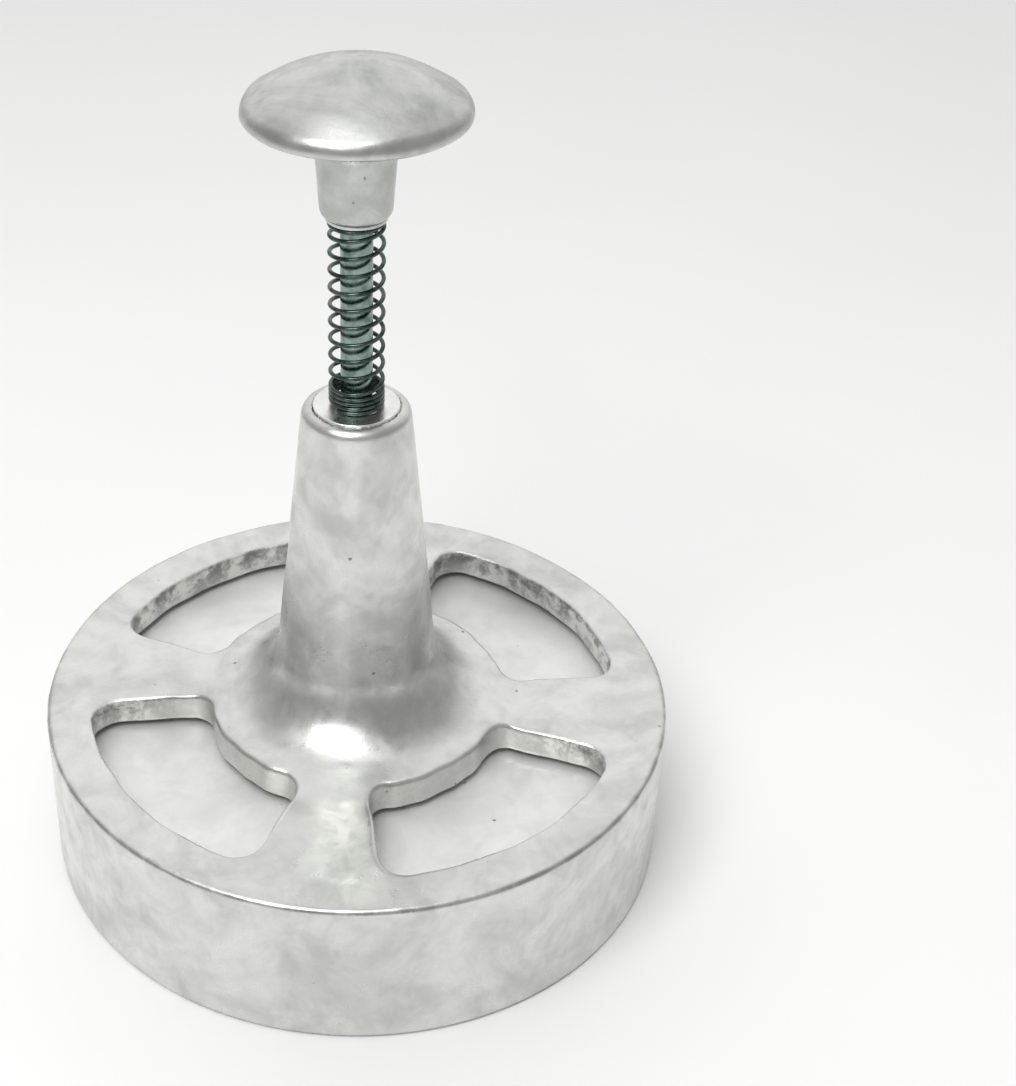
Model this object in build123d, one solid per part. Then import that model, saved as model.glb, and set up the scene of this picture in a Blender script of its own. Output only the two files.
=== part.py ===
from build123d import *
import os
from math import asin, cos, degrees, radians, sin

# Patty press: a cast mould with a tall guide tower, and a sprung plunger through it.
# Millimetres. Z is the plunger's axis, pointing up, and Z = 0 is the mould's resting rim.
# The four spokes of the mould's top lie along +X, +Y, -X and -Y.

# Mould
DRUM_RADIUS = 60.0
DRUM_WALL = 5.0
CAVITY_RADIUS = DRUM_RADIUS - DRUM_WALL
DECK_Z = 31.5
DECK_THICKNESS = 6.0
CEILING_Z = DECK_Z - DECK_THICKNESS
HUB_RADIUS = 31.0
TOWER_FOOT_Z = 34.5
TOWER_FOOT_RADIUS = 16.0
TOWER_TOP_Z = 95.8
TOWER_TOP_RADIUS = 9.78
TOWER_FILLET = 9.0
RIM_ROUNDING = 1.5
FOOT_ROUNDING = 1.0

# Windows between the spokes
WINDOW_COUNT = 4
WINDOW_INNER_RADIUS = 28.7
WINDOW_OUTER_RADIUS = 51.3
SPOKE_HALF_ANGLE = 13.0
WINDOW_INNER_CORNER = 3.5
WINDOW_OUTER_CORNER = 5.5
WINDOW_EDGE_ROUNDING = 0.9

# Plunger rod and its guide bushes
ROD_RADIUS = 2.8
RUNNING_CLEARANCE = 0.05
BUSH_BORE_RADIUS = ROD_RADIUS + RUNNING_CLEARANCE
UPPER_BUSH_RADIUS = 5.0
UPPER_BUSH_LENGTH = 14.0
UPPER_FLANGE_RADIUS = 7.75
UPPER_FLANGE_THICKNESS = 1.5
FLANGE_PROUD = 0.3
FLANGE_GAP = 0.05
LOWER_BUSH_RADIUS = 11.0
LOWER_BUSH_LENGTH = 12.0
CORE_TOP_RADIUS = 6.2
CORE_FOOT_RADIUS = 10.0

# Press plate and its fastening on the rod's stepped end
PLATE_RADIUS = 54.5
PLATE_THICKNESS = 5.0
PLATE_TOP_Z = 24.6
PLATE_BOTTOM_Z = PLATE_TOP_Z - PLATE_THICKNESS
PLATE_EDGE_ROUNDING = 1.0
BOSS_RADIUS = 9.0
BOSS_HEIGHT = 3.4
BOSS_TOP_Z = PLATE_TOP_Z + BOSS_HEIGHT
BOSS_FILLET = 1.5
THREAD_RADIUS = 2.0
PLATE_HOLE_RADIUS = 2.1
NUT_RECESS_RADIUS = 7.0
NUT_RECESS_DEPTH = 5.0
STOP_WASHER_RADIUS = 7.5
STOP_WASHER_THICKNESS = 1.2
LOCK_WASHER_RADIUS = 3.8
LOCK_WASHER_THICKNESS = 0.9
LOCK_WASHER_GAP = 0.8
NUT_ACROSS_FLATS = 7.0
NUT_THICKNESS = 2.2
NUT_FACE_SHARE = 0.95
NUT_CHAMFER_SLOPE = 0.5
ROD_END_PROUD = 0.7
SHOULDER_Z = BOSS_TOP_Z + STOP_WASHER_THICKNESS
REST_GAP = 0.05
LOWER_BUSH_Z = SHOULDER_Z + REST_GAP

# Return spring, right-hand wound, with tighter end coils
WIRE_RADIUS = 0.38
COIL_RADIUS = 4.57
END_PITCH = 0.9
BOTTOM_END_TURNS = 4.05
ACTIVE_TURNS = 9.35
TOP_END_TURNS = 1.0
SPRING_START_ANGLE = -127.0
SPRING_SEAT_Z = TOWER_TOP_Z + FLANGE_PROUD
SPRING_WASHER_RADIUS = 5.3
SPRING_WASHER_BORE = 2.9
SPRING_WASHER_THICKNESS = 0.65

# Knob
STEM_BOTTOM_Z = 132.4
STEM_BOTTOM_RADIUS = 6.15
STEM_TOP_Z = 142.0
STEM_TOP_RADIUS = 6.9
STEM_ROUNDING = 1.2
KNOB_RIM_Z = 150.25
KNOB_RADIUS = 19.0
KNOB_DOME_HEIGHT = 8.0
KNOB_RIM_THICKNESS = 0.7
KNOB_SHOULDER_RADIUS = 3.0
KNOB_HOLE_DEPTH = 16.0
KNOB_HOLE_POINT = 1.5
ROD_END_GAP = 0.5
SPRING_TOP_Z = STEM_BOTTOM_Z - REST_GAP - SPRING_WASHER_THICKNESS

SMALL_CHAMFER = 0.5
WASHER_ROUNDING = 0.15


def turned(outline):
    """Solid of revolution about Z. Each outline point is (radius, height, corner rounding)."""
    points = [(radius, height) for radius, height, _ in outline]
    roundings = [rounding for _, _, rounding in outline]
    profile = Plane.XZ * FilletPolyline(*points, radius=roundings, close=True)
    return revolve(make_face(profile), Axis.Z)


def ring(outer_radius, inner_radius, bottom_z, thickness, rounding=0.0):
    """Flat ring with its outer edges rounded."""
    top_z = bottom_z + thickness
    return turned(
        [
            (inner_radius, bottom_z, 0.0),
            (outer_radius, bottom_z, rounding),
            (outer_radius, top_z, rounding),
            (inner_radius, top_z, 0.0),
        ]
    )


def polar(radius, angle):
    """Point in the XY plane at a radius and an angle in degrees."""
    return (radius * cos(radians(angle)), radius * sin(radians(angle)))


def window_outline():
    """One window: a sector of a ring between two spokes, with rounded corners."""
    start = SPOKE_HALF_ANGLE
    sweep_angle = 360.0 / WINDOW_COUNT - 2.0 * SPOKE_HALF_ANGLE
    end = start + sweep_angle
    edges = [
        CenterArc((0, 0), WINDOW_INNER_RADIUS, start, sweep_angle),
        Line(polar(WINDOW_INNER_RADIUS, end), polar(WINDOW_OUTER_RADIUS, end)),
        CenterArc((0, 0), WINDOW_OUTER_RADIUS, start, sweep_angle),
        Line(polar(WINDOW_OUTER_RADIUS, start), polar(WINDOW_INNER_RADIUS, start)),
    ]
    sketch = make_face(edges)
    corners = sketch.vertices().group_by(lambda v: round(Vector(v.X, v.Y, 0).length, 1))
    sketch = fillet(corners[0], WINDOW_INNER_CORNER)
    far_corners = sketch.vertices().group_by(lambda v: round(Vector(v.X, v.Y, 0).length, 1))[-1]
    return fillet(far_corners, WINDOW_OUTER_CORNER)


def mould_body():
    """Casting: drum, four spokes, hub and the cored tower, with machined seats for the bushes."""
    flange_seat_radius = UPPER_FLANGE_RADIUS + FLANGE_GAP
    flange_seat_z = SPRING_SEAT_Z - UPPER_FLANGE_THICKNESS
    core_top_z = SPRING_SEAT_Z - UPPER_BUSH_LENGTH
    core_foot_z = LOWER_BUSH_Z + LOWER_BUSH_LENGTH
    casting = turned(
        [
            (CAVITY_RADIUS, 0.0, SMALL_CHAMFER),
            (DRUM_RADIUS, 0.0, FOOT_ROUNDING),
            (DRUM_RADIUS, DECK_Z, RIM_ROUNDING),
            (HUB_RADIUS, DECK_Z, TOWER_FILLET),
            (TOWER_FOOT_RADIUS, TOWER_FOOT_Z, TOWER_FILLET),
            (TOWER_TOP_RADIUS, TOWER_TOP_Z, RIM_ROUNDING),
            (flange_seat_radius, TOWER_TOP_Z, 0.0),
            (flange_seat_radius, flange_seat_z, 0.0),
            (UPPER_BUSH_RADIUS, flange_seat_z, 0.0),
            (UPPER_BUSH_RADIUS, core_top_z, 0.0),
            (CORE_TOP_RADIUS, core_top_z - SMALL_CHAMFER, 0.0),
            (CORE_FOOT_RADIUS, core_foot_z, 0.0),
            (LOWER_BUSH_RADIUS, core_foot_z, 0.0),
            (LOWER_BUSH_RADIUS, CEILING_Z, SMALL_CHAMFER),
            (CAVITY_RADIUS, CEILING_Z, RIM_ROUNDING),
        ]
    )
    cutter = extrude(Pos(0, 0, CEILING_Z - DECK_THICKNESS) * window_outline(), 3 * DECK_THICKNESS)
    for index in range(WINDOW_COUNT):
        casting -= Rot(0, 0, index * 360.0 / WINDOW_COUNT) * cutter
    return round_window_edges(casting)


def round_window_edges(casting):
    """Soften the windows' upper edges, as a hand-finished casting has them."""
    reach = WINDOW_OUTER_RADIUS + SMALL_CHAMFER
    near = WINDOW_INNER_RADIUS - SMALL_CHAMFER
    edges = [
        edge
        for edge in casting.edges()
        if edge.center().Z > DECK_Z - SMALL_CHAMFER
        and near < Vector((edge @ 0).X, (edge @ 0).Y, 0).length < reach
        and near < Vector((edge @ 1).X, (edge @ 1).Y, 0).length < reach
    ]
    return fillet(edges, WINDOW_EDGE_ROUNDING)


def upper_guide_bush():
    """Flanged bush in the tower's mouth; the spring sits on its flange."""
    sleeve_bottom_z = SPRING_SEAT_Z - UPPER_BUSH_LENGTH
    flange_bottom_z = SPRING_SEAT_Z - UPPER_FLANGE_THICKNESS
    return turned(
        [
            (BUSH_BORE_RADIUS, sleeve_bottom_z, SMALL_CHAMFER),
            (UPPER_BUSH_RADIUS, sleeve_bottom_z, SMALL_CHAMFER),
            (UPPER_BUSH_RADIUS, flange_bottom_z, 0.0),
            (UPPER_FLANGE_RADIUS, flange_bottom_z, 0.0),
            (UPPER_FLANGE_RADIUS, SPRING_SEAT_Z, FLANGE_PROUD),
            (BUSH_BORE_RADIUS, SPRING_SEAT_Z, WASHER_ROUNDING),
        ]
    )


def lower_guide_bush():
    """Plain bush pressed into the hub from below; its lower face is the plunger's rest stop."""
    return ring(LOWER_BUSH_RADIUS, BUSH_BORE_RADIUS, LOWER_BUSH_Z, LOWER_BUSH_LENGTH, SMALL_CHAMFER)


def coil(pitch, turns, start_angle, start_z):
    """One stretch of round wire wound right-handed at a steady pitch."""
    path = Pos(0, 0, start_z) * Rot(0, 0, start_angle) * Helix(pitch, pitch * turns, COIL_RADIUS)
    section = Plane(origin=path @ 0, z_dir=path % 0) * Circle(WIRE_RADIUS)
    return sweep(section, path=path, is_frenet=True), path @ 1


def return_spring():
    """Compression spring: tight coils at the bottom, active coils, one tight coil at the top."""
    wire_span = SPRING_TOP_Z - SPRING_SEAT_Z - 2 * WIRE_RADIUS
    end_span = END_PITCH * (BOTTOM_END_TURNS + TOP_END_TURNS)
    active_pitch = (wire_span - end_span) / ACTIVE_TURNS
    angle = SPRING_START_ANGLE
    height = SPRING_SEAT_Z + WIRE_RADIUS
    spring, join = coil(END_PITCH, BOTTOM_END_TURNS, angle, height)
    for pitch, turns, turns_before, span_before in (
        (active_pitch, ACTIVE_TURNS, BOTTOM_END_TURNS, END_PITCH * BOTTOM_END_TURNS),
        (END_PITCH, TOP_END_TURNS, ACTIVE_TURNS, active_pitch * ACTIVE_TURNS),
    ):
        angle += 360.0 * turns_before
        height += span_before
        spring += Pos(*join) * Sphere(WIRE_RADIUS)
        wire, join = coil(pitch, turns, angle, height)
        spring += wire
    return spring


def spring_washer():
    """Thin washer between the spring's top coil and the knob's stem."""
    return ring(
        SPRING_WASHER_RADIUS, SPRING_WASHER_BORE, SPRING_TOP_Z, SPRING_WASHER_THICKNESS, WASHER_ROUNDING
    )


def rod_top_z():
    """Height of the rod's upper end, just short of the bottom of the knob's hole."""
    return STEM_BOTTOM_Z + KNOB_HOLE_DEPTH - ROD_END_GAP


def plunger_rod():
    """Round steel rod with a stepped, threaded lower end and a threaded upper end."""
    lower_end_z = PLATE_TOP_Z - LOCK_WASHER_THICKNESS - NUT_THICKNESS - ROD_END_PROUD
    chamfer_radius = THREAD_RADIUS - SMALL_CHAMFER
    return turned(
        [
            (0.0, lower_end_z, 0.0),
            (chamfer_radius, lower_end_z, 0.0),
            (THREAD_RADIUS, lower_end_z + SMALL_CHAMFER, 0.0),
            (THREAD_RADIUS, SHOULDER_Z, 0.0),
            (ROD_RADIUS, SHOULDER_Z, 0.0),
            (ROD_RADIUS, rod_top_z() - SMALL_CHAMFER, 0.0),
            (ROD_RADIUS - SMALL_CHAMFER, rod_top_z(), 0.0),
            (0.0, rod_top_z(), 0.0),
        ]
    )


def knob():
    """Mushroom knob: tapered stem, flared neck, thin rim, rounded shoulder and low dome."""
    hole_top_z = STEM_BOTTOM_Z + KNOB_HOLE_DEPTH
    rim_bottom_z = KNOB_RIM_Z - KNOB_RIM_THICKNESS
    rim_bottom = (KNOB_RADIUS - KNOB_RIM_THICKNESS, rim_bottom_z)
    stem_top = (STEM_TOP_RADIUS, STEM_TOP_Z)
    dome_top = (0, KNOB_RIM_Z + KNOB_DOME_HEIGHT)
    shoulder_reach = KNOB_RADIUS - KNOB_SHOULDER_RADIUS
    dome_radius = (shoulder_reach**2 + KNOB_DOME_HEIGHT**2 - KNOB_SHOULDER_RADIUS**2) / (
        2 * (KNOB_DOME_HEIGHT - KNOB_SHOULDER_RADIUS)
    )
    dome_half_angle = degrees(asin(shoulder_reach / (dome_radius - KNOB_SHOULDER_RADIUS)))
    shoulder_centre = (shoulder_reach, KNOB_RIM_Z)
    dome_centre = (0, dome_top[1] - dome_radius)
    stem = FilletPolyline(
        dome_top,
        (0, hole_top_z + KNOB_HOLE_POINT),
        (ROD_RADIUS, hole_top_z),
        (ROD_RADIUS, STEM_BOTTOM_Z),
        (STEM_BOTTOM_RADIUS, STEM_BOTTOM_Z),
        stem_top,
        radius=[0.0, 0.0, 0.0, STEM_ROUNDING],
    )
    taper = (STEM_TOP_RADIUS - STEM_BOTTOM_RADIUS, STEM_TOP_Z - STEM_BOTTOM_Z)
    edges = [
        stem,
        TangentArc(stem_top, rim_bottom, tangent=taper),
        CenterArc((KNOB_RADIUS - KNOB_RIM_THICKNESS, KNOB_RIM_Z), KNOB_RIM_THICKNESS, -90, 90),
        CenterArc(shoulder_centre, KNOB_SHOULDER_RADIUS, 0, 90 - dome_half_angle),
        CenterArc(dome_centre, dome_radius, 90 - dome_half_angle, dome_half_angle),
    ]
    return revolve(Plane.XZ * make_face(edges), Axis.Z)


def press_plate():
    """Round plate with a central boss above and a recess for the nut below."""
    recess_top_z = PLATE_BOTTOM_Z + NUT_RECESS_DEPTH
    return turned(
        [
            (PLATE_HOLE_RADIUS, recess_top_z, 0.0),
            (NUT_RECESS_RADIUS, recess_top_z, 0.0),
            (NUT_RECESS_RADIUS, PLATE_BOTTOM_Z, SMALL_CHAMFER),
            (PLATE_RADIUS, PLATE_BOTTOM_Z, PLATE_EDGE_ROUNDING),
            (PLATE_RADIUS, PLATE_TOP_Z, PLATE_EDGE_ROUNDING),
            (BOSS_RADIUS, PLATE_TOP_Z, BOSS_FILLET),
            (BOSS_RADIUS, BOSS_TOP_Z, SMALL_CHAMFER),
            (PLATE_HOLE_RADIUS, BOSS_TOP_Z, 0.0),
        ]
    )


def stop_washer():
    """Washer between the rod's shoulder and the boss; it meets the lower bush at rest."""
    return ring(
        STOP_WASHER_RADIUS, THREAD_RADIUS, BOSS_TOP_Z, STOP_WASHER_THICKNESS, WASHER_ROUNDING
    )


def lock_washer():
    """Split spring washer under the nut."""
    bottom_z = PLATE_TOP_Z - LOCK_WASHER_THICKNESS
    washer = ring(LOCK_WASHER_RADIUS, THREAD_RADIUS, bottom_z, LOCK_WASHER_THICKNESS)
    slot = Box(LOCK_WASHER_RADIUS, LOCK_WASHER_GAP, 3 * LOCK_WASHER_THICKNESS)
    return washer - Pos(LOCK_WASHER_RADIUS, 0, PLATE_TOP_Z) * slot


def plate_nut():
    """Thin hexagon nut with both faces chamfered."""
    top_z = PLATE_TOP_Z - LOCK_WASHER_THICKNESS
    bottom_z = top_z - NUT_THICKNESS
    hexagon = RegularPolygon(NUT_ACROSS_FLATS / 2, 6, major_radius=False) - Circle(THREAD_RADIUS)
    blank = extrude(Pos(0, 0, bottom_z) * hexagon, NUT_THICKNESS)
    corner_radius = NUT_ACROSS_FLATS / 2 / cos(radians(30))
    face_radius = NUT_ACROSS_FLATS / 2 * NUT_FACE_SHARE
    corner_drop = (corner_radius - face_radius) * NUT_CHAMFER_SLOPE
    chamfered = turned(
        [
            (0.0, bottom_z, 0.0),
            (face_radius, bottom_z, 0.0),
            (corner_radius, bottom_z + corner_drop, 0.0),
            (corner_radius, top_z - corner_drop, 0.0),
            (face_radius, top_z, 0.0),
            (0.0, top_z, 0.0),
        ]
    )
    return blank & chamfered


PARTS = [
    mould_body,
    upper_guide_bush,
    lower_guide_bush,
    return_spring,
    spring_washer,
    plunger_rod,
    knob,
    press_plate,
    stop_washer,
    lock_washer,
    plate_nut,
]

os.makedirs("parts", exist_ok=True)
for make_part in PARTS:
    export_step(make_part(), f"parts/{make_part.__name__}.step")
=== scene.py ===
"""Looks of the patty press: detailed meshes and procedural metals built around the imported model.

Lengths are in metres in the frame's own axes: +Z is the plunger's axis and Z = 0 is the mould's resting rim.
"""
import math

import bpy
import numpy as np
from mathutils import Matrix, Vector


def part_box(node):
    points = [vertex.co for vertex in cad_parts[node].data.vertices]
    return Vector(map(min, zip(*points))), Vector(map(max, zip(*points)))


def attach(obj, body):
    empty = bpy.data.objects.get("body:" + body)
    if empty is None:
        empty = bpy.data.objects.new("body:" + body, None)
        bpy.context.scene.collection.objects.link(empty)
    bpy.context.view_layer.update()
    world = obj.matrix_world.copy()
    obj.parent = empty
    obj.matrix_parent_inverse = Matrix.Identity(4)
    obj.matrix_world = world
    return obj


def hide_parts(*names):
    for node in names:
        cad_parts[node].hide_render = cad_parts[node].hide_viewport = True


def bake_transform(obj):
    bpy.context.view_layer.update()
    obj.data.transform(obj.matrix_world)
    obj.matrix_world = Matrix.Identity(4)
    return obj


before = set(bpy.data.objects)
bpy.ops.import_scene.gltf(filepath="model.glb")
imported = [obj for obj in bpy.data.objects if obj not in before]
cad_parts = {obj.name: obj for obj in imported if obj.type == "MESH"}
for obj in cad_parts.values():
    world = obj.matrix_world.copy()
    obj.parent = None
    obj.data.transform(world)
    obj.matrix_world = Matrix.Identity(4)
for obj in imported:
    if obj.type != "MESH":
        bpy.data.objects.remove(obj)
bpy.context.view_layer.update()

MM = 0.001

# Places read from the frame
BODY_LOW, BODY_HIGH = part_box("mould_body")
PLATE_LOW, PLATE_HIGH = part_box("press_plate")
ROD_LOW, ROD_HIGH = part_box("plunger_rod")
KNOB_LOW, KNOB_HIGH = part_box("knob")
BUSH_LOW, BUSH_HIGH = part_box("upper_guide_bush")
LOWER_BUSH_LOW, LOWER_BUSH_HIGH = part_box("lower_guide_bush")
SPRING_LOW, SPRING_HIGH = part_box("return_spring")
STOP_LOW, STOP_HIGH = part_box("stop_washer")

# Mould
DRUM_RADIUS = BODY_HIGH.x
DRUM_WALL = 5 * MM
CAVITY_RADIUS = DRUM_RADIUS - DRUM_WALL
DECK_Z = 31.5 * MM
CEILING_Z = 25.5 * MM
HUB_RADIUS = 31 * MM
HUB_SLOPE = 0.205
TOWER_TOP_Z = BODY_HIGH.z
TOWER_TOP_RADIUS = 9.78 * MM
TOWER_TAPER = 0.1015
FIT_GAP = 0.05 * MM
FLANGE_SEAT_RADIUS = BUSH_HIGH.x + FIT_GAP
FLANGE_SEAT_Z = BUSH_HIGH.z - 1.5 * MM
SLEEVE_RADIUS = 5 * MM
MOUTH_RADIUS = LOWER_BUSH_HIGH.x
CORE_FOOT_RADIUS = 10 * MM
CORE_TAPER = 0.086
WINDOW_INNER_RADIUS = 28.7 * MM
WINDOW_OUTER_RADIUS = 51.3 * MM
SPOKE_HALF_ANGLE = math.radians(13)
CAST_VOXEL = 0.55 * MM
WINDOW_EDGE_ROUNDING = 0.75 * MM
HUB_WALL_SKIN = 0.2
FOOT_GRIME_AND_SHADE = 0.5

# Knob
STEM_BOTTOM_RADIUS = 6.15 * MM
STEM_TOP_RADIUS = 6.9 * MM
STEM_TOP_Z = 142 * MM
KNOB_RIM_Z = 150.25 * MM
KNOB_RIM_THICKNESS = 0.7 * MM
KNOB_SHOULDER = 3 * MM
NECK_SHADE_AND_GRIME = 0.75
KNOB_HOLE_Z = KNOB_LOW.z + 16 * MM
KNOB_HOLE_POINT_Z = KNOB_LOW.z + 17.5 * MM
STEM_ROUNDING = 1.2 * MM

# Spring
WIRE_RADIUS = 0.38 * MM
END_PITCH = 0.9 * MM
BOTTOM_END_TURNS = 4.05
ACTIVE_TURNS = 9.35
TOP_END_TURNS = 1.0
PITCH_BLEND_TURNS = 0.35
WIRE_SIDES = 14
STEPS_PER_TURN = 56
SPRING_START_ANGLE = math.radians(-127)

# Rod
THREAD_RADIUS = 2 * MM
THREAD_PITCH = 0.7 * MM

# Plate
BOSS_HEIGHT = 3.4 * MM
BOSS_RADIUS = 9 * MM
NUT_RECESS_RADIUS = 7 * MM
NUT_RECESS_TOP_Z = PLATE_LOW.z + 5 * MM
PLATE_HOLE_RADIUS = 2.1 * MM

# Camera
CAMERA_AZIMUTH = math.radians(8.3)
CAMERA_PITCH = math.radians(35.08)
CAMERA_DISTANCE = 290 * MM
CAMERA_HEIGHT = 269.7 * MM
CAMERA_LENS = 63.6
CAMERA_SHIFT = 0.1394


# ---------------------------------------------------------------- mesh helpers


def new_object(name, vertices, faces, smooth_angle=40):
    """Mesh object, smooth-shaded but for edges sharper than smooth_angle degrees."""
    mesh = bpy.data.meshes.new(name)
    mesh.from_pydata([tuple(v) for v in vertices], [], faces)
    mesh.validate()
    mesh.shade_smooth()
    mesh.set_sharp_from_angle(angle=math.radians(smooth_angle))
    piece = bpy.data.objects.new(name, mesh)
    bpy.context.scene.collection.objects.link(piece)
    return piece


def waves(points, scale, seed, count=24):
    """Smooth noise of about -1 to 1: a sum of plane waves of random directions, scale metres long."""
    rng = np.random.default_rng(seed)
    directions = rng.normal(size=(count, 3))
    directions /= np.linalg.norm(directions, axis=1)[:, None]
    lengths = scale * rng.uniform(0.7, 1.6, count)
    phases = rng.uniform(0, 2 * math.pi, count)
    angles = points @ (directions * (2 * math.pi / lengths)[:, None]).T + phases
    return np.sin(angles).sum(axis=1) / math.sqrt(count)


def set_attribute(piece, name, values):
    """Per-vertex number that a material reads."""
    attribute = piece.data.attributes.new(name, "FLOAT", "POINT")
    attribute.data.foreach_set("value", np.asarray(values, np.float32))


def outline(corners, step):
    """Points along a closed outline, spaced by step. Corners are (radius, height, rounding)."""
    points = []
    count = len(corners)
    for index, (r, z, rounding) in enumerate(corners):
        here = np.array([r, z])
        back = np.array(corners[index - 1][:2]) - here
        ahead = np.array(corners[(index + 1) % count][:2]) - here
        back_length, ahead_length = np.linalg.norm(back), np.linalg.norm(ahead)
        back, ahead = back / back_length, ahead / ahead_length
        half = math.acos(np.clip(back @ ahead, -1, 1)) / 2
        if rounding <= 0:
            points.append(here)
            continue
        reach = min(rounding / math.tan(half), 0.49 * min(back_length, ahead_length))
        radius = reach * math.tan(half)
        centre = here + (back + ahead) / np.linalg.norm(back + ahead) * radius / math.sin(half)
        start = here + back * reach - centre
        end = here + ahead * reach - centre
        turn = math.atan2(start[0] * end[1] - start[1] * end[0], start @ end)
        for share in np.linspace(0, 1, max(3, int(abs(turn) / math.radians(12)) + 1)):
            c, s = math.cos(turn * share), math.sin(turn * share)
            points.append(centre + np.array([c * start[0] - s * start[1], s * start[0] + c * start[1]]))
    filled = []
    for index, point in enumerate(points):
        following = points[(index + 1) % len(points)]
        parts = max(1, int(np.linalg.norm(following - point) / step))
        filled += [point + (following - point) * k / parts for k in range(parts)]
    return np.array(filled)


def lathe(name, profile, segments, closed=True, smooth_angle=40):
    """Surface of revolution about Z. An open profile starts and ends on the axis."""
    angles = np.linspace(0, 2 * math.pi, segments, endpoint=False)
    body = profile if closed else profile[1:-1]
    rings = len(body)
    r, z = body[:, 0], body[:, 1]
    vertices = np.stack(
        [np.outer(r, np.cos(angles)), np.outer(r, np.sin(angles)), np.outer(z, np.ones(segments))], axis=2
    ).reshape(-1, 3)
    faces = []
    for i in range(rings if closed else rings - 1):
        a, b = i * segments, ((i + 1) % rings) * segments
        for j in range(segments):
            k = (j + 1) % segments
            faces.append((a + j, a + k, b + k, b + j))
    if not closed:
        poles = [(0, 0, profile[0][1]), (0, 0, profile[-1][1])]
        vertices = np.vstack([vertices, poles])
        first, last = rings * segments, rings * segments + 1
        base = (rings - 1) * segments
        for j in range(segments):
            k = (j + 1) % segments
            faces.append((first, k, j))
            faces.append((last, base + j, base + k))
    return new_object(name, vertices, faces, smooth_angle)


def face_outward(piece):
    """Turn every face to look out of the closed mesh."""
    mesh = piece.data
    co = np.empty(len(mesh.vertices) * 3)
    mesh.vertices.foreach_get("co", co)
    co = co.reshape(-1, 3)
    mesh.calc_loop_triangles()
    corners = np.empty(len(mesh.loop_triangles) * 3, np.int32)
    mesh.loop_triangles.foreach_get("vertices", corners)
    a, b, c = (co[corners.reshape(-1, 3)[:, i]] for i in range(3))
    if np.einsum("ij,ij->i", a, np.cross(b, c)).sum() < 0:
        mesh.flip_normals()
    return piece


# ---------------------------------------------------------------- the casting


def round_join(a, b, radius):
    """Distance-like field of two solids joined with a fillet of that radius."""
    u, v = np.maximum(radius - a, 0), np.maximum(radius - b, 0)
    return np.maximum(radius, np.minimum(a, b)) - np.hypot(u, v)


def round_meet(a, b, radius):
    """Field of what two solids share, with the edge between them rounded."""
    u, v = np.maximum(radius + a, 0), np.maximum(radius + b, 0)
    return np.minimum(-radius, np.maximum(a, b)) + np.hypot(u, v)


def window_field(x, y):
    """Negative inside the four windows: rounded sectors of a ring, with slightly wandering filed edges."""
    rho = np.hypot(x, y)
    angle = np.arctan2(y, x)
    quarter = math.pi / 2
    local = np.abs((angle % quarter) - quarter / 2)
    side = rho * np.sin(local - (quarter / 2 - SPOKE_HALF_ANGLE))
    wander = 0.16 * MM * np.sin(5 * angle + 0.7) + 0.13 * MM * np.sin(13 * angle + 2.1 + rho / (4 * MM))
    wander += 0.09 * MM * np.sin(29 * angle + rho / (1.7 * MM))
    inner = round_meet(WINDOW_INNER_RADIUS - rho, side, 3.5 * MM)
    outer = round_meet(rho - WINDOW_OUTER_RADIUS, side, 5.5 * MM)
    return np.maximum(inner, outer) + wander


def casting_field(points):
    """Negative inside the casting's metal, positive outside, in metres."""
    x, y, z = points.T
    rho = np.hypot(x, y)
    slope_scale = math.hypot(1, HUB_SLOPE)
    rise = HUB_SLOPE * (HUB_RADIUS - rho)
    soft = 2.2 * MM
    ramp = 0.5 * (rise + np.hypot(rise, soft * HUB_SLOPE))
    valley = 0.3 * MM * np.exp(-(((rho - 33 * MM) / (2.4 * MM)) ** 2))
    deck = (z - DECK_Z - ramp + valley) / np.where(rho < HUB_RADIUS, slope_scale, 1)
    drum = round_meet(rho - DRUM_RADIUS, deck, 1.0 * MM)
    drum = round_meet(drum, -z, 0.9 * MM)
    taper_scale = math.hypot(1, TOWER_TAPER)
    tower_side = (rho - TOWER_TOP_RADIUS - TOWER_TAPER * (TOWER_TOP_Z - z)) / taper_scale
    tower = round_meet(tower_side, z - TOWER_TOP_Z, 1.7 * MM)
    tower = np.maximum(tower, CEILING_Z - z)
    solid = round_join(drum, tower, 9.5 * MM)
    cavity = round_meet(rho - CAVITY_RADIUS, z - CEILING_Z, 1.5 * MM)
    solid = round_meet(solid, -cavity, 0.6 * MM)
    solid = round_meet(solid, -window_field(x, y), WINDOW_EDGE_ROUNDING)
    core_radius = CORE_FOOT_RADIUS - CORE_TAPER * (z - LOWER_BUSH_HIGH.z)
    core = np.maximum(rho - core_radius, z - BUSH_LOW.z)
    mouth = np.maximum(rho - MOUTH_RADIUS, z - LOWER_BUSH_HIGH.z)
    sleeve = rho - SLEEVE_RADIUS
    seat = np.maximum(rho - FLANGE_SEAT_RADIUS, FLANGE_SEAT_Z - z)
    hollow = np.minimum(np.minimum(core, mouth), np.minimum(sleeve, seat))
    return np.maximum(solid, -hollow)


def hand_finish(points):
    """How far the finished skin lies below the ideal one: soft dents and file marks, never proud of it."""
    dents = waves(points, 16 * MM, 11) * 0.05 * MM + waves(points, 6 * MM, 12) * 0.022 * MM
    return dents - 0.09 * MM


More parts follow.
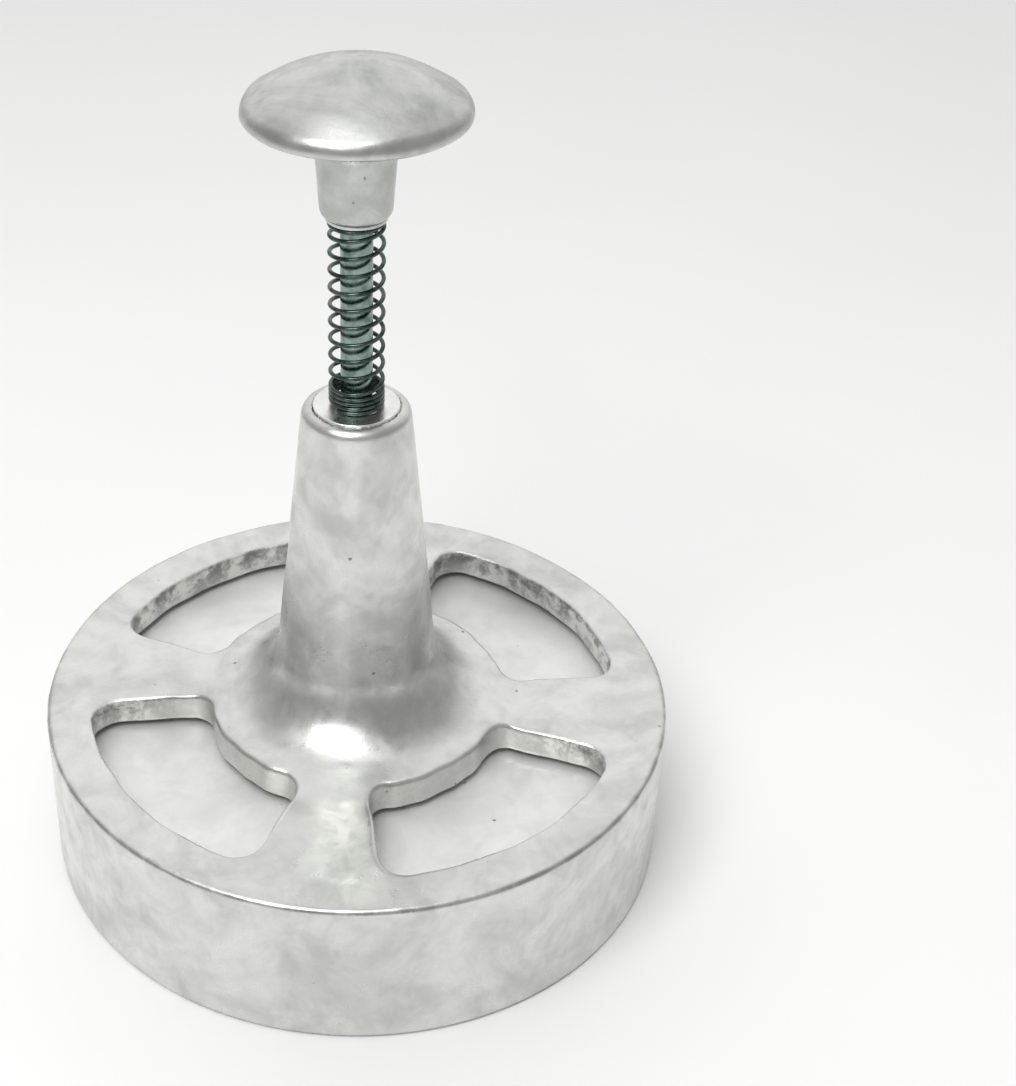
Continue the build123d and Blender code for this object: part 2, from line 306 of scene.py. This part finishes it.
def settle(points, steps=5):
    """Bring points onto the casting's skin along the field's gradient."""
    probe = 0.02 * MM
    for _ in range(steps):
        value = casting_field(points)
        gradient = np.stack(
            [
                (casting_field(points + offset) - casting_field(points - offset)) / (2 * probe)
                for offset in np.eye(3) * probe
            ],
            axis=1,
        )
        size = np.maximum((gradient**2).sum(axis=1), 0.25)
        step = np.clip(value / size, -0.6 * MM, 0.6 * MM)
        points = points - gradient * step[:, None]
    normal = gradient / np.linalg.norm(gradient, axis=1)[:, None]
    return points, normal


def make_casting():
    """The mould: its CAD solid remeshed finely, settled on the ideal skin, then hand-finished."""
    rough = bpy.data.objects.new("rough_casting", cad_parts["mould_body"].data.copy())
    bpy.context.scene.collection.objects.link(rough)
    remesh = rough.modifiers.new("remesh", "REMESH")
    remesh.mode = "VOXEL"
    remesh.voxel_size = CAST_VOXEL * 1
    mesh = bpy.data.meshes.new_from_object(rough.evaluated_get(bpy.context.evaluated_depsgraph_get()))
    bpy.data.objects.remove(rough)
    mesh.name = "casting"
    co = np.empty(len(mesh.vertices) * 3)
    mesh.vertices.foreach_get("co", co)
    points, normal = settle(co.reshape(-1, 3))
    rho = np.hypot(points[:, 0], points[:, 1])
    outside = np.clip((points[:, 2] - CEILING_Z) / (2 * MM), 0, 1)
    outside = np.maximum(outside, np.clip((rho - CAVITY_RADIUS - 2 * MM) / (2 * MM), 0, 1))
    outside *= np.clip((points[:, 2] - 0.5 * MM) / (2 * MM), 0, 1)
    finish = hand_finish(points) * outside * (rho > FLANGE_SEAT_RADIUS + 0.2 * MM)
    points = points + normal * finish[:, None]
    mesh.vertices.foreach_set("co", points.ravel())
    mesh.update()
    mesh.shade_smooth()
    mesh.set_sharp_from_angle(angle=math.radians(50))
    mesh.materials.clear()
    piece = bpy.data.objects.new("casting", mesh)
    bpy.context.scene.collection.objects.link(piece)
    return piece, points, normal


def paint_casting(piece, points, normal):
    """Where the metal was left as cast, with a darker or brighter skin on the window walls, and where shade
    is painted: blotches round the tower's foot (with some grime), a darker cavity, and a dark line along the
    rim's edge.
    """
    z = points[:, 2]
    rho = np.hypot(points[:, 0], points[:, 1])
    upright = 1 - np.clip(np.abs(normal[:, 2]) * 1.6 - 0.35, 0, 1)
    in_ring = (rho > WINDOW_INNER_RADIUS - 1.5 * MM) & (rho < WINDOW_OUTER_RADIUS + 1.5 * MM)
    wall = upright * in_ring * (z > CEILING_Z - 0.5 * MM) * (z < DECK_Z + 1 * MM)
    # Painted shade: the cavity under the deck is coloured darker.
    inside = ((rho < CAVITY_RADIUS + 0.3 * MM) & (z < CEILING_Z + 0.3 * MM)) * 1.0
    # Hub-side walls get a fainter cast skin than drum-side walls, and the skin is darker towards the top of
    # each wall.
    radial_skin = HUB_WALL_SKIN + (1 - HUB_WALL_SKIN) * np.clip((rho - 34 * MM) / (10 * MM), 0, 1)
    upper = 0.55 + 0.45 * np.clip((z - CEILING_Z - 1 * MM) / (3 * MM), 0, 1)
    set_attribute(piece, "as_cast", wall * radial_skin * upper)
    # Painted shade, with some grime: the tower's lower part is blotched darker all round.
    foot = np.exp(-(((z - 46 * MM) / (20 * MM)) ** 2)) * np.clip((25 * MM - rho) / (5 * MM), 0, 1)
    set_attribute(piece, "grime_and_shade", FOOT_GRIME_AND_SHADE * foot)
    set_attribute(piece, "cavity_shade", inside)
    # Painted shade: a band along the drum's top edge, which the material darkens into a broken dark line.
    rim = np.exp(-(((rho - DRUM_RADIUS + 0.2 * MM) / (0.6 * MM)) ** 2)) * np.exp(
        -(((z - DECK_Z + 0.2 * MM) / (0.6 * MM)) ** 2)
    )
    set_attribute(piece, "rim", rim)


# ---------------------------------------------------------------- the other pieces


def make_knob():
    """Mushroom knob: tapered stem, flared neck, thin rim, rounded shoulder and low dome."""
    rim = KNOB_HIGH.x
    height = KNOB_HIGH.z - KNOB_RIM_Z
    reach = rim - KNOB_SHOULDER
    dome = (reach**2 + height**2 - KNOB_SHOULDER**2) / (2 * (height - KNOB_SHOULDER))
    half = math.asin(reach / (dome - KNOB_SHOULDER))
    top = [
        (dome * math.sin(a), KNOB_HIGH.z - dome + dome * math.cos(a)) for a in np.linspace(0, half, 40)
    ]
    shoulder = [
        (reach + KNOB_SHOULDER * math.sin(a), KNOB_RIM_Z + KNOB_SHOULDER * math.cos(a))
        for a in np.linspace(half, math.pi / 2, 20)[1:]
    ]
    edge_centre = rim - KNOB_RIM_THICKNESS
    edge = [
        (edge_centre + KNOB_RIM_THICKNESS * math.cos(a), KNOB_RIM_Z - KNOB_RIM_THICKNESS * math.sin(a))
        for a in np.linspace(0, math.pi / 2, 10)[1:]
    ]
    # The neck is one arc, tangent to the stem at its foot, that ends at the rim's underside.
    tangent = np.array([STEM_TOP_RADIUS - STEM_BOTTOM_RADIUS, STEM_TOP_Z - KNOB_LOW.z])
    tangent /= np.linalg.norm(tangent)
    foot = np.array([STEM_TOP_RADIUS, STEM_TOP_Z])
    across = np.array([tangent[1], -tangent[0]])
    chord = np.array(edge[-1]) - foot
    radius = (chord @ chord) / (2 * chord @ across)
    centre = foot + across * radius
    begin = math.atan2(*(foot - centre)[::-1])
    finish = math.atan2(*(np.array(edge[-1]) - centre)[::-1])
    if begin < 0:
        begin += 2 * math.pi
    neck = [
        (centre[0] + radius * math.cos(a), centre[1] + radius * math.sin(a))
        for a in np.linspace(finish, begin, 30)[1:]
    ]
    stem = outline(
        [
            (STEM_TOP_RADIUS, STEM_TOP_Z, 0),
            (STEM_BOTTOM_RADIUS, KNOB_LOW.z, STEM_ROUNDING),
            (ROD_HIGH.x, KNOB_LOW.z, 0.2 * MM),
            (ROD_HIGH.x, KNOB_HOLE_Z, 0),
            (0, KNOB_HOLE_POINT_Z, 0),
        ],
        0.5 * MM,
    )
    last = np.argmin(np.hypot(stem[:, 0], stem[:, 1] - KNOB_HOLE_POINT_Z))
    profile = np.array(top + shoulder + edge + neck + [tuple(p) for p in stem[1 : last + 1]])
    piece = face_outward(lathe("knob_casting", profile, 168, closed=False, smooth_angle=50))
    co = np.array([v.co for v in piece.data.vertices])
    rho = np.hypot(co[:, 0], co[:, 1])
    away = co * np.array([1, 1, 0]) / np.maximum(rho, 1e-6)[:, None]
    dent = waves(co, 14 * MM, 21) * 0.07 * MM + waves(co, 6 * MM, 22) * 0.025 * MM - 0.13 * MM
    outer = np.clip((rho - ROD_HIGH.x - 0.6 * MM) / (1 * MM), 0, 1)
    co += away * (dent * outer)[:, None]
    co[:, 2] += np.minimum(0, dent) * 0.5 * outer * (co[:, 2] > KNOB_RIM_Z)
    piece.data.vertices.foreach_set("co", co.ravel())
    piece.data.update()
    # Painted shade under the knob's rim, with some handling grime: the neck and stem darken below the rim.
    set_attribute(piece, "grime_and_shade", NECK_SHADE_AND_GRIME * np.clip((KNOB_RIM_Z - co[:, 2]) / (3 * MM), 0, 1))
    return piece


def make_plate():
    """Press plate: soft edge, boss above, nut recess below, and a faintly uneven hand-turned top."""
    boss_z = STOP_LOW.z
    top_z = boss_z - BOSS_HEIGHT
    profile = outline(
        [
            (PLATE_HOLE_RADIUS, NUT_RECESS_TOP_Z, 0),
            (NUT_RECESS_RADIUS, NUT_RECESS_TOP_Z, 0.3 * MM),
            (NUT_RECESS_RADIUS, PLATE_LOW.z, 0.5 * MM),
            (PLATE_HIGH.x, PLATE_LOW.z, 1 * MM),
            (PLATE_HIGH.x, top_z, 1 * MM),
            (BOSS_RADIUS, top_z, 1.5 * MM),
            (BOSS_RADIUS, boss_z, 0.5 * MM),
            (PLATE_HOLE_RADIUS, boss_z, 0),
        ],
        1.2 * MM,
    )
    piece = face_outward(lathe("plate_casting", profile, 180))
    co = np.array([v.co for v in piece.data.vertices])
    rho = np.hypot(co[:, 0], co[:, 1])
    flat = (rho > 10.5 * MM) * (rho < PLATE_HIGH.x - 1 * MM)
    dent = np.minimum(0, waves(co, 22 * MM, 31) * 0.06 * MM - 0.06 * MM) * flat
    co[:, 2] += dent * np.where(co[:, 2] > top_z - 1 * MM, 1, -1)
    piece.data.vertices.foreach_set("co", co.ravel())
    piece.data.update()
    return piece


def make_upper_bush():
    """Flanged bush with a soft-edged flange."""
    profile = outline(
        [
            (ROD_HIGH.x + FIT_GAP, BUSH_LOW.z, 0.4 * MM),
            (SLEEVE_RADIUS, BUSH_LOW.z, 0.4 * MM),
            (SLEEVE_RADIUS, FLANGE_SEAT_Z, 0),
            (BUSH_HIGH.x, FLANGE_SEAT_Z, 0),
            (BUSH_HIGH.x, BUSH_HIGH.z, 0.28 * MM),
            (ROD_HIGH.x + FIT_GAP, BUSH_HIGH.z, 0.2 * MM),
        ],
        0.4 * MM,
    )
    return face_outward(lathe("upper_bush_flange", profile, 128))


def make_rod():
    """Rod with a real helical thread on its stepped lower end."""
    segments = 48
    thread_top = STOP_HIGH.z - 0.4 * MM
    thread_steps = int((thread_top - ROD_LOW.z) / (THREAD_PITCH / 10))
    heights = list(np.linspace(ROD_LOW.z, thread_top, thread_steps))
    angles = np.linspace(0, 2 * math.pi, segments, endpoint=False)
    rings = []
    for z in heights:
        phase = (z / THREAD_PITCH - angles / (2 * math.pi)) % 1
        tooth = np.clip(np.abs(phase - 0.5) * 2.6 - 0.15, 0, 1)
        lead_in = min(1.0, (z - ROD_LOW.z) / (0.5 * MM))
        radius = THREAD_RADIUS - 0.38 * MM * np.maximum(tooth, 1 - lead_in)
        rings.append((radius, z))
    shank = [
        (THREAD_RADIUS, thread_top + 0.1 * MM),
        (THREAD_RADIUS, STOP_HIGH.z),
        (ROD_HIGH.x - 0.15 * MM, STOP_HIGH.z),
        (ROD_HIGH.x, STOP_HIGH.z + 0.15 * MM),
    ]
    shank += [(ROD_HIGH.x, z) for z in np.linspace(STOP_HIGH.z + 2 * MM, ROD_HIGH.z - 0.5 * MM, 60)]
    shank += [(ROD_HIGH.x - 0.5 * MM, ROD_HIGH.z)]
    rings += [(np.full(segments, r), z) for r, z in shank]
    vertices = []
    for radius, z in rings:
        vertices += list(zip(radius * np.cos(angles), radius * np.sin(angles), np.full(segments, z)))
    faces = []
    for i in range(len(rings) - 1):
        for j in range(segments):
            k = (j + 1) % segments
            faces.append((i * segments + j, i * segments + k, (i + 1) * segments + k, (i + 1) * segments + j))
    low, high = len(vertices), len(vertices) + 1
    vertices += [(0, 0, ROD_LOW.z), (0, 0, ROD_HIGH.z)]
    base = (len(rings) - 1) * segments
    for j in range(segments):
        k = (j + 1) % segments
        faces += [(low, k, j), (high, base + j, base + k)]
    return new_object("rod_shaft", vertices, faces)


def spring_line(steps_per_turn):
    """Angles, heights and closing shares along the wire; the share runs from 0 at the bottom to 1."""
    total = BOTTOM_END_TURNS + ACTIVE_TURNS + TOP_END_TURNS
    turns = np.linspace(0, total, int(total * steps_per_turn) + 1)
    opening = np.clip((turns - BOTTOM_END_TURNS) / PITCH_BLEND_TURNS + 0.5, 0, 1)
    closing = np.clip((BOTTOM_END_TURNS + ACTIVE_TURNS - turns) / PITCH_BLEND_TURNS + 0.5, 0, 1)
    active = opening * closing
    share = np.concatenate([[0], np.cumsum((active[1:] + active[:-1]) / 2 * np.diff(turns))])
    share /= share[-1]
    span = SPRING_HIGH.z - SPRING_LOW.z - 2 * WIRE_RADIUS
    heights = SPRING_LOW.z + WIRE_RADIUS + END_PITCH * turns
    heights += (span - END_PITCH * total) * share
    return SPRING_START_ANGLE + 2 * math.pi * turns, heights, share


def make_spring():
    """Round wire along the spring's line; each cross-section stays whole as the coils close up."""
    sides = WIRE_SIDES
    coil_radius = SPRING_HIGH.x - WIRE_RADIUS
    angles, heights, share = spring_line(STEPS_PER_TURN)
    centres = np.stack([coil_radius * np.cos(angles), coil_radius * np.sin(angles), heights], axis=1)
    along = np.gradient(centres, axis=0)
    along /= np.linalg.norm(along, axis=1)[:, None]
    outward = np.stack([np.cos(angles), np.sin(angles), np.zeros_like(angles)], axis=1)
    across = np.cross(along, outward)
    turn = np.linspace(0, 2 * math.pi, sides, endpoint=False)
    vertices, weights = [], []
    for index, centre in enumerate(centres):
        radius = WIRE_RADIUS * (0.86 if index in (0, len(centres) - 1) else 1)
        ring = np.outer(np.cos(turn), outward[index]) + np.outer(np.sin(turn), across[index])
        vertices += [tuple(p) for p in centre + ring * radius]
        weights += [share[index]] * sides
    faces = []
    for i in range(len(centres) - 1):
        for j in range(sides):
            k = (j + 1) % sides
            faces.append((i * sides + j, i * sides + k, (i + 1) * sides + k, (i + 1) * sides + j))
    last = (len(centres) - 1) * sides
    faces.append(tuple(range(sides - 1, -1, -1)))
    faces.append(tuple(last + j for j in range(sides)))
    piece = face_outward(new_object("spring_wire", vertices, faces, 60))
    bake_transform(piece)
    return piece


# ---------------------------------------------------------------- materials


class Nodes:
    """Short ways to add and join shader nodes in one material."""

    def __init__(self, name):
        self.material = bpy.data.materials.new(name)
        self.material.use_nodes = True
        self.tree = self.material.node_tree
        self.shader = self.tree.nodes["Principled BSDF"]
        self.position = self.tree.nodes.new("ShaderNodeTexCoord").outputs["Object"]

    def node(self, kind, **values):
        made = self.tree.nodes.new(kind)
        for key, value in values.items():
            setattr(made, key, value)
        return made

    def join(self, source, target):
        self.tree.links.new(source, target)

    def noise(self, size, detail=4, roughness=0.55, distortion=0.0, stretch=(1, 1, 1)):
        """Noise of that feature size in metres, 0 to 1."""
        mapping = self.node("ShaderNodeMapping")
        mapping.inputs["Scale"].default_value = stretch
        self.join(self.position, mapping.inputs["Vector"])
        made = self.node("ShaderNodeTexNoise")
        made.inputs["Scale"].default_value = 1 / size
        made.inputs["Detail"].default_value = detail
        made.inputs["Roughness"].default_value = roughness
        made.inputs["Distortion"].default_value = distortion
        self.join(mapping.outputs[0], made.inputs["Vector"])
        return made.outputs["Fac"]

    def spots(self, size, radius):
        """1 in small round pits set size metres apart, 0 elsewhere; radius is a share of size."""
        made = self.node("ShaderNodeTexVoronoi")
        made.inputs["Scale"].default_value = 1 / size
        self.join(self.position, made.inputs["Vector"])
        return self.span(made.outputs["Distance"], radius, radius * 0.4, 0, 1)

    def span(self, value, low, high, to_low, to_high):
        """Map low..high to to_low..to_high, smoothly and clamped."""
        made = self.node("ShaderNodeMapRange", interpolation_type="SMOOTHSTEP")
        for key, number in zip(("From Min", "From Max", "To Min", "To Max"), (low, high, to_low, to_high)):
            made.inputs[key].default_value = number
        self.join(value, made.inputs["Value"])
        return made.outputs["Result"]

    def math(self, operation, a, b):
        """One sum of two values, each a socket or a number."""
        made = self.node("ShaderNodeMath", operation=operation)
        for value, target in zip((a, b), made.inputs):
            if isinstance(value, (int, float)):
                target.default_value = value
            else:
                self.join(value, target)
        return made.outputs[0]

    def mix(self, share, a, b):
        """Colour between a and b, each a socket or an RGB triple."""
        made = self.node("ShaderNodeMix", data_type="RGBA")
        self.join(share, made.inputs[0])
        for value, target in zip((a, b), (made.inputs[6], made.inputs[7])):
            if isinstance(value, tuple):
                target.default_value = (*value, 1)
            else:
                self.join(value, target)
        return made.outputs[2]

    def attribute(self, name):
        return self.node("ShaderNodeAttribute", attribute_name=name).outputs["Fac"]

    def bump(self, height, distance, strength=1.0, under=None):
        """Bump of that depth in metres, over another bump."""
        made = self.node("ShaderNodeBump")
        made.inputs["Strength"].default_value = strength
        made.inputs["Distance"].default_value = distance
        self.join(height, made.inputs["Height"])
        if under is not None:
            self.join(under, made.inputs["Normal"])
        return made.outputs["Normal"]

    def finish(self, colour, roughness, normal, metallic=1.0):
        self.join(colour, self.shader.inputs["Base Color"])
        self.join(roughness, self.shader.inputs["Roughness"])
        self.join(normal, self.shader.inputs["Normal"])
        self.shader.inputs["Metallic"].default_value = metallic
        return self.material


def cast_aluminium(name, bright, dull, rough_low, rough_high, has_marks=False, metallic=1.0):
    """Hand-finished cast aluminium: soft tonal patches, fine grain, small dark pits."""
    n = Nodes(name)
    patches = n.noise(17 * MM, 5, 0.6, 0.8)
    smudges = n.noise(5 * MM, 4, 0.6, 0.4)
    tone = n.math("ADD", n.span(patches, 0.35, 0.65, 0, 0.7), n.span(smudges, 0.4, 0.7, 0, 0.3))
    colour = n.mix(tone, bright, dull)
    pits = n.math("MULTIPLY", n.spots(5.5 * MM, 0.07), n.span(n.noise(9 * MM, 2), 0.52, 0.6, 0, 1))
    colour = n.mix(n.math("MULTIPLY", pits, 0.8), colour, (0.12, 0.12, 0.11))
    roughness = n.span(smudges, 0.3, 0.7, rough_low, rough_high)
    grain = n.noise(0.5 * MM, 3, 0.6)
    scratches = n.noise(1.6 * MM, 3, 0.7, 0.2, stretch=(1, 1, 0.12))
    normal = n.bump(grain, 0.012 * MM)
    normal = n.bump(scratches, 0.02 * MM, under=normal)
    normal = n.bump(pits, -0.12 * MM, under=normal)
    if has_marks:
        as_cast = n.attribute("as_cast")
        skin = n.noise(5 * MM, 8, 0.68, 0.3)
        dark = n.mix(n.span(skin, 0.4, 0.6, 0, 1), (0.32, 0.32, 0.305), (0.9, 0.9, 0.875))
        colour = n.mix(as_cast, colour, dark)
        roughness = n.math("MAXIMUM", roughness, n.math("MULTIPLY", as_cast, 0.6))
        normal = n.bump(n.math("MULTIPLY", skin, as_cast), 0.35 * MM, under=normal)
        # Painted shade: a dark line along the rim's edge, broken by noise into dashes.
        rim_edge_shade = n.math("MULTIPLY", n.attribute("rim"), n.span(n.noise(4 * MM, 3, 0.6), 0.42, 0.6, 0.75, 0.15))
        colour = n.mix(rim_edge_shade, colour, (0.3, 0.3, 0.28))
        # Painted shade: the cavity under the deck is darkened.
        colour = n.mix(n.math("MULTIPLY", n.attribute("cavity_shade"), 0.5), colour, (0.42, 0.42, 0.405))
    # Painted shade, with some grime: darker blotches where the attribute asks for them (tower foot, knob stem
    # and neck).
    blotches = n.span(n.noise(6 * MM, 5, 0.62, 0.6), 0.3, 0.62, 0.1, 1)
    colour = n.mix(n.math("MULTIPLY", n.attribute("grime_and_shade"), blotches), colour, (0.42, 0.43, 0.41))
    return n.finish(colour, roughness, normal, metallic)


def turned_metal(name, bright, dull, rough_low, rough_high, ring_size):
    """Machined metal with fine marks that run round the Z axis."""
    n = Nodes(name)
    parts = n.node("ShaderNodeSeparateXYZ")
    n.join(n.position, parts.inputs[0])
    flat = n.node("ShaderNodeCombineXYZ")
    n.join(parts.outputs[0], flat.inputs[0])
    n.join(parts.outputs[1], flat.inputs[1])
    length = n.node("ShaderNodeVectorMath", operation="LENGTH")
    n.join(flat.outputs[0], length.inputs[0])
    place = n.node("ShaderNodeCombineXYZ")
    n.join(length.outputs["Value"], place.inputs[0])
    n.join(parts.outputs[2], place.inputs[2])
    rings = n.node("ShaderNodeTexNoise")
    rings.inputs["Scale"].default_value = 1 / ring_size
    rings.inputs["Detail"].default_value = 3
    n.join(place.outputs[0], rings.inputs["Vector"])
    patches = n.noise(7 * MM, 4, 0.6, 0.5)
    colour = n.mix(n.span(patches, 0.38, 0.66, 0, 1), bright, dull)
    roughness = n.span(n.noise(3 * MM, 4), 0.3, 0.7, rough_low, rough_high)
    normal = n.bump(rings.outputs["Fac"], 0.03 * MM)
    return n.finish(colour, roughness, normal)


def wire_metal(name, bright, dull, rough_low, rough_high):
    """Drawn wire or bar: greenish-grey steel with slight stains."""
    n = Nodes(name)
    stains = n.noise(2.4 * MM, 4, 0.6, 0.6)
    colour = n.mix(n.span(stains, 0.35, 0.68, 0, 1), bright, dull)
    roughness = n.span(n.noise(1.1 * MM, 3), 0.3, 0.7, rough_low, rough_high)
    normal = n.bump(n.noise(0.7 * MM, 3, 0.6), 0.01 * MM)
    return n.finish(colour, roughness, normal)


def floor_material():
    """Plain pale matte floor."""
    n = Nodes("pale_floor")
    tone = n.span(n.noise(120 * MM, 3), 0.3, 0.7, 0, 1)
    n.join(n.mix(tone, FLOOR, tuple(0.985 * c for c in FLOOR)), n.shader.inputs["Base Color"])
    n.shader.inputs["Roughness"].default_value = 0.9
    n.shader.inputs["Specular IOR Level"].default_value = 0.1
    return n.material


# ---------------------------------------------------------------- stage

FLOOR = (0.95, 0.95, 0.945)
SIDE_STRENGTH = 0.4
BACK_STRENGTH = 1.04


def make_floor():
    size = 3.0
    floor = new_object(
        "floor", [(-size, -size, 0), (size, -size, 0), (size, size, 0), (-size, size, 0)], [(0, 1, 2, 3)]
    )
    floor.location.z = -0.05 * MM
    floor.data.materials.append(floor_material())


def make_light(name, azimuth, elevation, distance, size, power, aim=Vector((0, 0, 0.06))):
    """Soft square area light, placed by azimuth and elevation in degrees round the press."""
    data = bpy.data.lights.new(name, "AREA")
    data.size = size
    data.energy = power
    light = bpy.data.objects.new(name, data)
    a, e = math.radians(azimuth), math.radians(elevation)
    back = Vector((math.sin(a) * math.cos(e), -math.cos(a) * math.cos(e), math.sin(e)))
    light.location = aim + back * distance
    light.rotation_mode = "QUATERNION"
    light.rotation_quaternion = back.to_track_quat("Z", "Y")
    bpy.context.scene.collection.objects.link(light)


def make_world():
    """Soft surround: bright behind and overhead, fading to grey at the sides."""
    world = bpy.data.worlds.new("studio")
    bpy.context.scene.world = world
    world.use_nodes = True
    tree = world.node_tree
    background = tree.nodes["Background"]
    background.inputs["Color"].default_value = (1, 1, 1, 1)
    direction = tree.nodes.new("ShaderNodeTexCoord").outputs["Generated"]

    def facing(azimuth, elevation):
        """Cosine of the angle from a direction given by azimuth and elevation in degrees."""
        a, e = math.radians(azimuth), math.radians(elevation)
        made = tree.nodes.new("ShaderNodeVectorMath")
        made.operation = "DOT_PRODUCT"
        made.inputs[1].default_value = (math.sin(a) * math.cos(e), -math.cos(a) * math.cos(e), math.sin(e))
        tree.links.new(direction, made.inputs[0])
        return made.outputs["Value"]

    def span(value, low, high, to_low, to_high):
        made = tree.nodes.new("ShaderNodeMapRange")
        made.interpolation_type = "SMOOTHSTEP"
        for key, number in zip(("From Min", "From Max", "To Min", "To Max"), (low, high, to_low, to_high)):
            made.inputs[key].default_value = number
        tree.links.new(value, made.inputs["Value"])
        return made.outputs["Result"]

    back = span(facing(math.degrees(CAMERA_AZIMUTH) + 180, 35), 0.3, 1.0, SIDE_STRENGTH, BACK_STRENGTH)
    tree.links.new(back, background.inputs["Strength"])


def make_camera():
    data = bpy.data.cameras.new("camera")
    data.lens = CAMERA_LENS
    data.shift_x = CAMERA_SHIFT
    data.clip_start = 0.01
    camera = bpy.data.objects.new("camera", data)
    camera.location = (
        CAMERA_DISTANCE * math.sin(CAMERA_AZIMUTH),
        -CAMERA_DISTANCE * math.cos(CAMERA_AZIMUTH),
        CAMERA_HEIGHT,
    )
    camera.rotation_euler = (math.pi / 2 - CAMERA_PITCH, 0, CAMERA_AZIMUTH)
    bpy.context.scene.collection.objects.link(camera)
    bpy.context.scene.camera = camera


# ---------------------------------------------------------------- assembly


def stand_for(piece, node, body, material):
    """piece stands for a CAD node, rides its body and wears a material."""
    piece.data.materials.clear()
    piece.data.materials.append(material)
    if body is not None:
        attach(piece, body)
    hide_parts(node)


def dress(node, material):
    """Give a CAD node that shows as it is a better material."""
    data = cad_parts[node].data
    data.materials.clear()
    data.materials.append(material)


mould_metal = cast_aluminium(
    "cast_aluminium", (0.74, 0.745, 0.72), (0.55, 0.555, 0.535), 0.26, 0.42, has_marks=True
)
knob_metal = cast_aluminium("knob_aluminium", (0.64, 0.645, 0.625), (0.4, 0.41, 0.39), 0.24, 0.4)
plate_metal = cast_aluminium(
    "plate_aluminium", (0.86, 0.865, 0.84), (0.74, 0.745, 0.72), 0.42, 0.58, metallic=0.5
)
bush_metal = turned_metal("bush_metal", (0.87, 0.87, 0.86), (0.74, 0.74, 0.73), 0.22, 0.38, 0.5 * MM)
rod_metal = wire_metal("rod_steel", (0.27, 0.36, 0.33), (0.11, 0.17, 0.15), 0.14, 0.26)
spring_metal = wire_metal("spring_steel", (0.11, 0.145, 0.13), (0.03, 0.045, 0.04), 0.18, 0.3)
zinc_metal = turned_metal("zinc_hardware", (0.62, 0.65, 0.64), (0.45, 0.48, 0.47), 0.2, 0.36, 0.4 * MM)

casting, casting_points, casting_normal = make_casting()
paint_casting(casting, casting_points, casting_normal)
stand_for(casting, "mould_body", "mould", mould_metal)
stand_for(make_knob(), "knob", "plunger", knob_metal)
stand_for(make_plate(), "press_plate", "plunger", plate_metal)
stand_for(make_upper_bush(), "upper_guide_bush", "mould", bush_metal)
stand_for(make_rod(), "plunger_rod", "plunger", rod_metal)
stand_for(make_spring(), "return_spring", None, spring_metal)
dress("lower_guide_bush", bush_metal)
for hardware in ("spring_washer", "stop_washer", "lock_washer", "plate_nut"):
    dress(hardware, zinc_metal)

make_floor()
make_world()
make_light("key", -24, 58, 0.9, 0.45, 4.0)
make_light("top", -10, 80, 0.9, 0.5, 0.9)
make_camera()
bpy.context.scene.view_settings.view_transform = "Standard"
